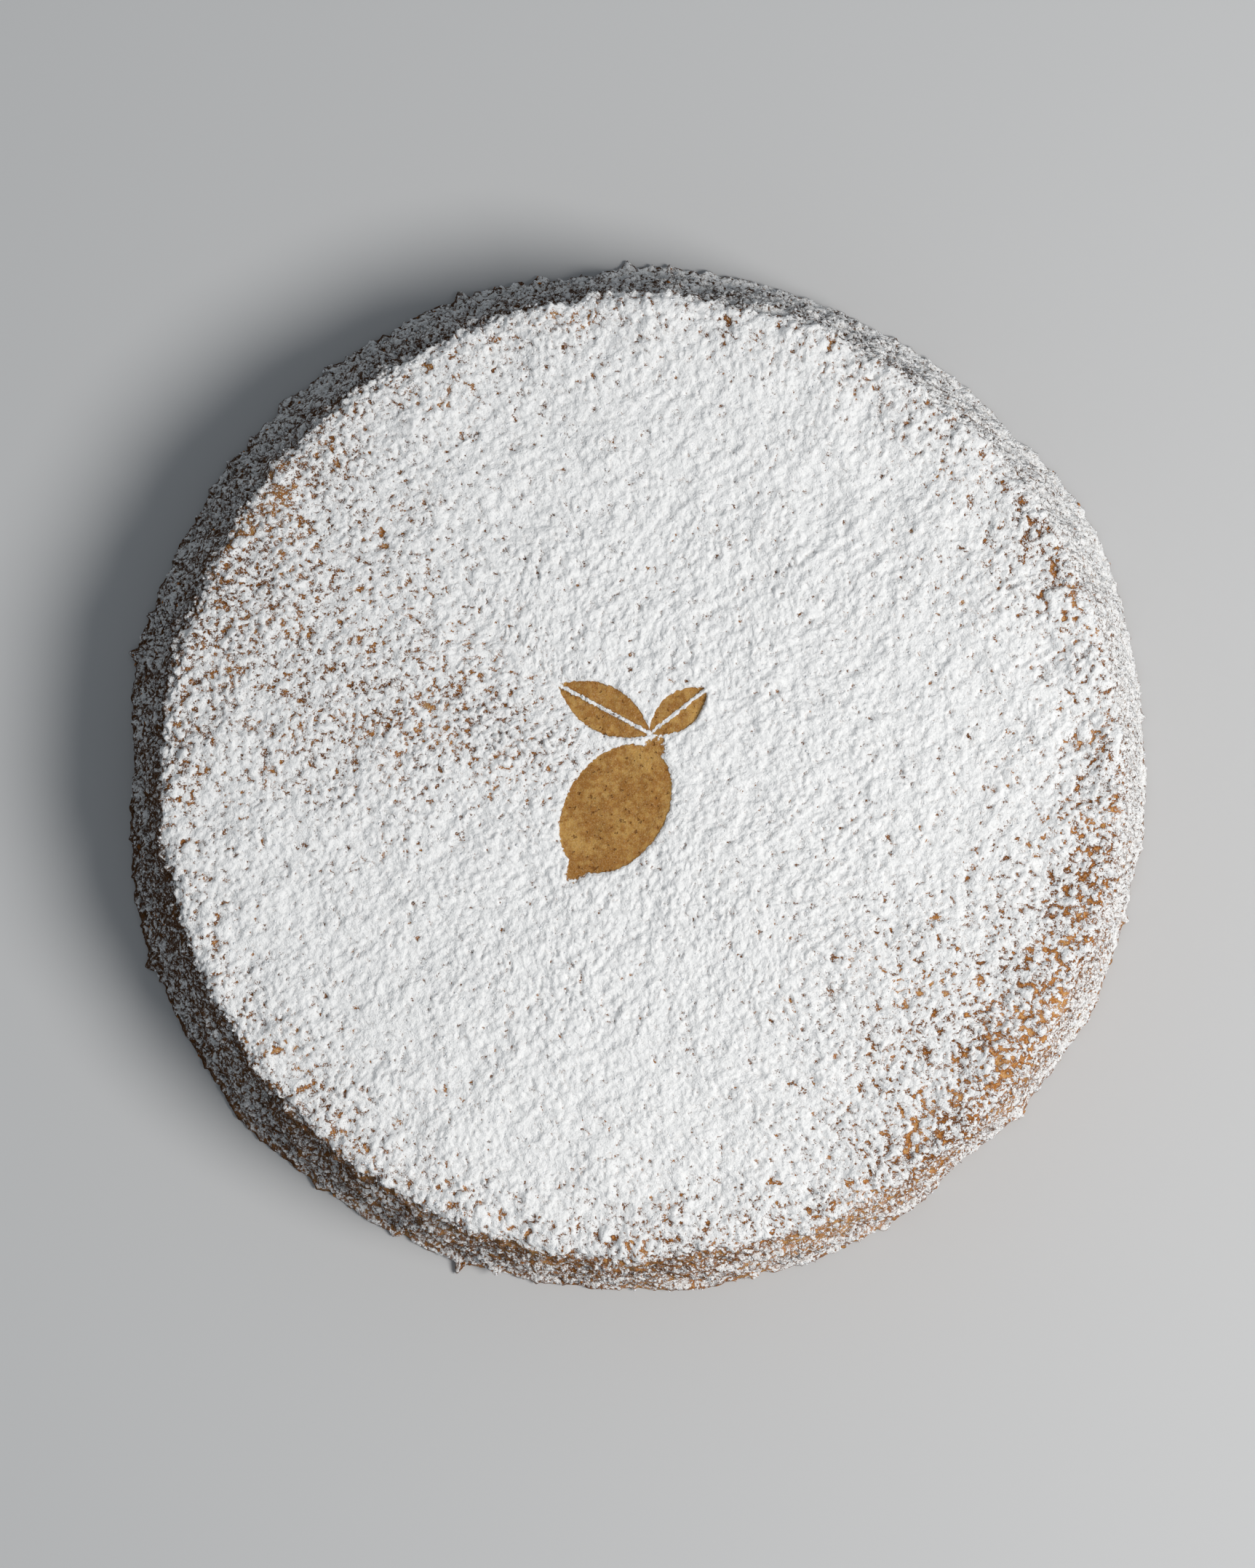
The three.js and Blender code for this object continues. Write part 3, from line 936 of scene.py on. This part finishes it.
# what each look takes of them: the value that a noise is measured from, and how steeply it counts
markWeights = {
    "ragged": {"coarse": (0.5, 1.7), "gap": (0.45, -0.9)},
    "toned": {"patch": (0.5, 3.2), "spot": (0.5, 3.6)},
    "paintedGlint": {"paintedGlint": (0.52, 5)},
    "pore": {"coarse": (0.36, -14)},
    "lit": {"spot": (0.5, 1.8), "patch": (0.5, 2.2)},
    "darker": {"spot": (0.5, 0.6)},
    "dust": {"dust": (0.54, 9)},
    "hollowShade": {"gap": (0.6, 0.4), "powder": (0.48, -2.4)},
    "pitCrustAndShade": {"fine": (0.47, -6), "coarse": (0.46, -3)},
}


def grainGap(graph, place):
    # 0 in the middle of a grain of sugar, about 1 between grains
    bend = {"Vector": place, "Scale": sugarLook["bendScale"], "Detail": 1.0}
    bend = graph.add("ShaderNodeTexNoise", {}, bend, "Color")
    bend = {0: bend, 1: [sugarLook["grainBend"]] * 3, 2: place}
    bent = graph.add("ShaderNodeVectorMath", {"operation": "MULTIPLY_ADD"}, bend)
    size = {"Vector": bent, "Scale": 1000 / sugarLook["grainSize"], "Randomness": 1.0}
    cell = graph.add("ShaderNodeTexVoronoi", {"feature": "F1"}, size)
    return cell * cell * sugarLook["grainGap"]


def bakedColour(graph, weighed, left, outside, darkAndShade):
    # inside the stencil: toasted and pale patches, fine painted glints that stand in for highlights, and
    # small pores painted dark as painted shade
    toned = (weighed["toned"] + crustLook["toasting"]).clamped()
    # painted glints: fine highlights painted into the colour
    paintedGlint = weighed["paintedGlint"].clamped() * crustLook["paintedGlints"]
    baked = graph.mix(paintedGlint, graph.mix(toned, crustLook["toasted"], crustLook["gold"]), crustLook["paintedGlint"])
    # painted shade: the pores are painted brown
    baked = graph.mix(weighed["pore"].clamped() * crustLook["pores"], baked, crustLook["brown"])
    # painted shade: the middle of a bare spot is painted lighter than its rim, which lies in the sugar's
    # shade; its tone also varies at random
    lit = (weighed["lit"] - left * crustLook["rimShade"]).clamped()
    stops = [(0, crustLook["brown"]), (0.5, crustLook["amber"]), (1, crustLook["pale"])]
    bare = graph.add("ShaderNodeValToRGB", {"stops": stops}, {"Fac": lit})
    # the crust is painted towards its darkest colour by its darkness, which holds painted shade and painted
    # light
    darker = (darkAndShade + weighed["darker"]).clamped()
    return graph.mix(darker, graph.mix(outside, baked, bare), crustLook["darkAndShade"])


def cakeMaterial():
    material, graph = newMaterial("sugaredCrust")
    # what the surface carries: sugar depth, how much is side, the stencil's edge, and the crust's darkness
    # with its painted shade and light
    sugar, side, stencilDepth, darkAndShade = (
        graph.add("ShaderNodeAttribute", {"attribute_name": key}, {}, "Fac")
        for key in ("sugar", "side", "stencil", "darkAndShade")
    )
    place = graph.add("ShaderNodeTexCoord", {}, {}, "Object")
    flat = {"Vector": place, "Scale": (1, 1, crustFlat), "Rotation": noiseTurn}
    flatter = graph.add("ShaderNodeMapping", {}, flat)
    place = graph.add("ShaderNodeMapping", {}, {"Vector": place, "Rotation": noiseTurn})
    noises = {key: graph.noise(flatter, *mark) for key, mark in flatMarks.items()}
    noises.update({key: graph.noise(place, *mark) for key, mark in evenMarks.items()})
    gap = noises["gap"] = grainGap(graph, flatter)
    weighed = {key: graph.weigh(noises, weights) for key, weights in markWeights.items()}

    # how far the sugar reaches, and how much of it covers the crust
    finer = (noises["fine"] - 0.5) * (sugarLook["fineRagged"] - side * sugarLook["fineSide"])
    left = sugar + (weighed["ragged"] + finer) * (side * sugarLook["raggedSide"] + sugarLook["ragged"])
    cover = (left / (side * sugarLook["softSide"] + sugarLook["soft"]) + 0.5).clamped()
    crisp = stencilDepth + (noises["fine"] - 0.5) * stencilCrisp["ragged"]
    outside = (crisp * stencilCrisp["sharp"]).clamped()  # 0 on the fruit and leaves
    seen = side * sugarLook["veilSide"] + sugarLook["veil"]
    veil = 1 - seen * (1 - left / sugarLook["veilDepth"]).clamped()
    cover = cover * outside * veil

    crust = bakedColour(graph, weighed, left, outside, darkAndShade)
    stray = darkAndShade * (1 - side) * crustLook["dust"] + outside * crustLook["dustEverywhere"]
    dust = weighed["dust"].clamped() * (stray + crustLook["dustLeast"]).clamped()
    crust = graph.mix(dust, crust, sugarLook["white"])
    # painted shade in the hollows of the sugar, between its grains and in the low parts of its powder
    white = graph.mix(weighed["hollowShade"].clamped(), sugarLook["white"], sugarLook["hollowShade"])
    # between the side's grains: partly crust showing through the sugar, partly painted shade
    white = graph.mix(weighed["pitCrustAndShade"].clamped() * side, white, sugarLook["pitCrustAndShade"])

    sugared = noises["powder"] * sugarLook["powderHeight"] + noises["specks"] * sugarLook["fineHeight"]
    sugared = sugared - gap * (side * sugarLook["grainSide"] + sugarLook["grainHeight"])
    pores = weighed["pore"].clamped() * crustLook["pores"]
    crumb = noises["crumb"] * crustLook["crumbHeight"] - pores * crustLook["poreDepth"]
    height = sugared * cover + crumb * (1 - cover)
    finishMaterial(graph, {
        "Base Color": graph.mix(cover, crust, white),
        "Roughness": cover * sugarLook["rougher"] + crustLook["rough"],
        "Normal": graph.add("ShaderNodeBump", {}, {"Height": height, "Distance": mm, "Strength": 1.0}),
        "Specular IOR Level": sugarLook["specular"],
    })
    return material


sugaredCrust = cakeMaterial()
for piece in surfacePieces:
    piece.data.materials.append(sugaredCrust)
print("cake dressed")


# loose bits that lie on the surface: how many a square metre, sizes in mm, how deep the sugar is
# where they start and where they lie thickest, and the least sugar that holds any
looseBits = {
    "sugarGrains": {
        "density": 4e5, "small": 0.12, "large": 0.42, "flat": 0.7,
        "from": 3.2, "to": 0.4, "least": -0.6, "seed": 3,
    },
    "sugarFlecks": {
        "density": 4.2e5, "small": 0.18, "large": 0.58, "flat": 0.8,
        "from": 2.6, "to": 0.6, "least": -1.6, "seed": 8,
    },
    "crustCrumbs": {
        "density": 5e4, "small": 0.25, "large": 0.8, "flat": 0.6,
        "from": 1.0, "to": -1.0, "least": -9.0, "seed": 14,
    },
}
# each bit is a rounded eight-sided grain, drawn out and turned by chance between these
bitFaces = 8
bitScale = (0.75, 0.75, 0.6), (1.15, 1.15, 0.9)
bitTurn = (-0.5, -0.5, 0), (0.5, 0.5, 6.28)
looseLook = {
    "white": (0.9, 0.905, 0.91, 1), "shade": (0.8, 0.815, 0.84, 1), "patch": 1.6, "steep": 3, "rough": 0.9,
}


def looseMaterial(name, light, deep):
    material, graph = newMaterial(name)
    place = graph.add("ShaderNodeTexCoord", {}, {}, "Object")
    share = ((graph.noise(place, looseLook["patch"]) - 0.5) * looseLook["steep"] + 0.5).clamped()
    finishMaterial(graph, {
        "Base Color": graph.mix(share, light, deep),
        "Roughness": looseLook["rough"],
        "Specular IOR Level": sugarLook["specular"],
    })
    return material


def scatterTree(name, settings, material):
    # small uneven bits over a surface, thicker where its sugar is deeper
    tree = bpy.data.node_groups.new(name + "Scatter", "GeometryNodeTree")
    tree.interface.new_socket("Surface", in_out="INPUT", socket_type="NodeSocketGeometry")
    tree.interface.new_socket("Bits", in_out="OUTPUT", socket_type="NodeSocketGeometry")
    for key, setting in settings.items():
        kind = "NodeSocketInt" if isinstance(setting, int) else "NodeSocketFloat"
        tree.interface.new_socket(key, in_out="INPUT", socket_type=kind)
    graph = Graph(tree)
    given = graph.add("NodeGroupInput", {}, {})
    depth, stencilDepth = (
        graph.add("GeometryNodeInputNamedAttribute", {"data_type": "FLOAT"}, {"Name": key})
        for key in ("sugar", "stencil")
    )
    start = given.output("from")
    share = ((depth - start) / (given.output("to") - start)).clamped()
    share = share * (depth - given.output("least")).clamped()
    share = share * (stencilDepth * 4).clamped()  # none on the fruit and leaves
    spread = {"Mesh": given, "Density": share * given.output("density"), "Seed": given.output("seed")}
    points = graph.add("GeometryNodeDistributePointsOnFaces", {}, spread, "Points")
    bit = graph.add("GeometryNodeMeshUVSphere", {}, {"Segments": 4, "Rings": 2, "Radius": mm}, "Mesh")
    draw = graph.add("FunctionNodeRandomValue", {"data_type": "FLOAT"}, {"Seed": 1}, 1)
    small = given.output("small")
    size = small + (given.output("large") - small) * draw * draw * draw
    uneven, turn = (
        graph.add("FunctionNodeRandomValue", {"data_type": "FLOAT_VECTOR"}, {0: low, 1: high, "Seed": seed})
        for (low, high), seed in ((bitScale, 2), (bitTurn, 4))
    )
    ways = {0: points.output("Rotation"), 1: turn}
    facing = graph.add("FunctionNodeRotateRotation", {"rotation_space": "LOCAL"}, ways)
    squashed = {"X": size, "Y": size, "Z": size * given.output("flat")}
    squashed = graph.add("ShaderNodeCombineXYZ", {}, squashed)
    scale = graph.add("ShaderNodeVectorMath", {"operation": "MULTIPLY"}, {0: squashed, 1: uneven})
    places = {"Points": points, "Instance": bit, "Rotation": facing, "Scale": scale}
    placed = graph.add("GeometryNodeInstanceOnPoints", {}, places)
    solid = graph.add("GeometryNodeRealizeInstances", {}, {"Geometry": placed})
    smooth = graph.add("GeometryNodeSetShadeSmooth", {}, {"Geometry": solid})
    coloured = graph.add("GeometryNodeSetMaterial", {}, {"Geometry": smooth, "Material": material})
    graph.add("NodeGroupOutput", {}, {"Bits": coloured})
    return tree


def addBitUv(mesh):
    # every bit has its own square of the map, and every face its own corner of that square
    count = len(mesh.polygons)
    bit, face = np.divmod(np.arange(count), bitFaces)
    across = math.ceil(math.sqrt(count / bitFaces))
    perSquare = math.ceil(math.sqrt(bitFaces))
    left = bit % across + face % perSquare / perSquare
    low = bit // across + face // perSquare / perSquare
    reach = 0.8 / perSquare
    corners = np.stack([left, low], -1)[:, None] + reach * np.array([[0, 0], [1, 0], [0, 1]])
    mesh.uv_layers.new(name="OFBake")
    mesh.uv_layers["OFBake"].uv.foreach_set("vector", (corners / across).astype(np.float32).ravel())


def scatter(name, pieces, material):
    joined = bpy.data.meshes.new(name + "Surface")
    base = bpy.data.objects.new(name + "Surface", joined)
    bpy.context.scene.collection.objects.link(base)
    joining = bmesh.new()
    for piece in pieces:
        joining.from_mesh(piece.data)
    joining.to_mesh(joined)
    joining.free()
    settings = looseBits[name]
    tree = scatterTree(name, settings, material)
    modifier = base.modifiers.new(name, "NODES")
    modifier.node_group = tree
    for item in tree.interface.items_tree:
        if item.in_out == "INPUT" and item.name in settings:
            modifier[item.identifier] = settings[item.name]
    shown = base.evaluated_get(bpy.context.evaluated_depsgraph_get())
    mesh = bpy.data.meshes.new_from_object(shown)
    mesh.name = name
    bpy.data.objects.remove(base)
    for key in ("OFBake", "sugar", "side", "darkAndShade", "stencil"):
        if key in mesh.attributes:
            mesh.attributes.remove(mesh.attributes[key])
    # nothing reaches below what the cake stands on
    spots = np.empty(len(mesh.vertices) * 3, np.float32)
    mesh.vertices.foreach_get("co", spots)
    spots[2::3] = np.maximum(spots[2::3], 0)
    mesh.vertices.foreach_set("co", spots)
    addBitUv(mesh)
    bits = bpy.data.objects.new(name, mesh)
    bpy.context.scene.collection.objects.link(bits)
    print(name, len(mesh.polygons), "faces")
    return bits


print("scattering loose sugar and crumbs")
sugarBit = looseMaterial("looseSugar", looseLook["white"], looseLook["shade"])
crustBit = looseMaterial("looseCrust", crustLook["amber"], crustLook["brown"])
grains = scatter("sugarGrains", [topCentre, topMiddle, topOuter], sugarBit)
flecks = scatter("sugarFlecks", [shoulder, lowerSide, lip], sugarBit)
crumbs = scatter("crustCrumbs", [lowerSide, lip], crustBit)

for piece in surfacePieces + [grains, flecks, crumbs]:
    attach(piece, "root")
    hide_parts("cake")

studio = {
    "keyTurn": -20,  # degrees from +X towards +Y
    "keyRise": 54,
    "keyFar": 1.3,
    "keySize": 0.6,
    "keyPower": 14.0,
    "keyColour": (1.0, 0.985, 0.965),
    "sky": 0.28,
    "skyColour": (0.84, 0.92, 1.0, 1),
    "floor": (0.56, 0.56, 0.56, 1),
    "floorSize": 14,
    "floorRough": 0.8,
    "floorGap": 0.0002,  # how far below the cake it lies
}
view = {
    "far": 1.1,
    "tall": 0.3993,  # height of the picture at the table, in metres
    "left": 17,  # how many picture points the picture's middle lies left of the cake's
    "down": 11.5,  # and how many below it
    "leanX": 2.4,  # degrees off the vertical
    "leanY": 0.25,
    "pictureTall": 2156,
}


def addStudio():
    bpy.ops.mesh.primitive_plane_add(size=studio["floorSize"])
    floor = bpy.context.object
    floor.name = "floor"
    floor.location.z = -studio["floorGap"]
    material, graph = newMaterial("paleFloor")
    finishMaterial(graph, {"Base Color": studio["floor"], "Roughness": studio["floorRough"]})
    floor.data.materials.append(material)
    turn, rise = math.radians(studio["keyTurn"]), math.radians(studio["keyRise"])
    way = Vector((math.cos(turn) * math.cos(rise), math.sin(turn) * math.cos(rise), math.sin(rise)))
    lamp = bpy.data.lights.new("keyLight", "AREA")
    lamp.shape = "DISK"
    lamp.size = studio["keySize"]
    lamp.energy = studio["keyPower"]
    lamp.color = studio["keyColour"]
    key = bpy.data.objects.new("keyLight", lamp)
    key.location = way * studio["keyFar"]
    key.rotation_euler = way.to_track_quat("Z", "Y").to_euler()
    bpy.context.scene.collection.objects.link(key)
    world = bpy.data.worlds.new("softRoom")
    bpy.context.scene.world = world
    world.use_nodes = True
    background = world.node_tree.nodes["Background"]
    background.inputs["Color"].default_value = studio["skyColour"]
    background.inputs["Strength"].default_value = studio["sky"]
    bpy.context.scene.view_settings.view_transform = "Standard"


def addCamera():
    size = view["tall"] / view["pictureTall"]
    target = Vector((-view["left"] * size, -view["down"] * size, 0))
    back = Vector((-math.tan(math.radians(view["leanX"])), -math.tan(math.radians(view["leanY"])), 1))
    place = target + back * view["far"]
    camera = bpy.data.cameras.new("camera")
    camera.sensor_width = 36
    camera.lens = camera.sensor_width * (place - target).length / view["tall"]
    camera.clip_start = 0.01
    viewer = bpy.data.objects.new("camera", camera)
    # the picture's upright follows +Y
    axisZ = (place - target).normalized()
    axisX = Vector((0, 1, 0)).cross(axisZ).normalized()
    axisY = axisZ.cross(axisX)
    upright = Matrix((axisX, axisY, axisZ)).transposed().to_4x4()
    viewer.matrix_world = Matrix.Translation(place) @ upright
    bpy.context.scene.collection.objects.link(viewer)
    bpy.context.scene.camera = viewer


addStudio()
addCamera()
print("studio and camera set")
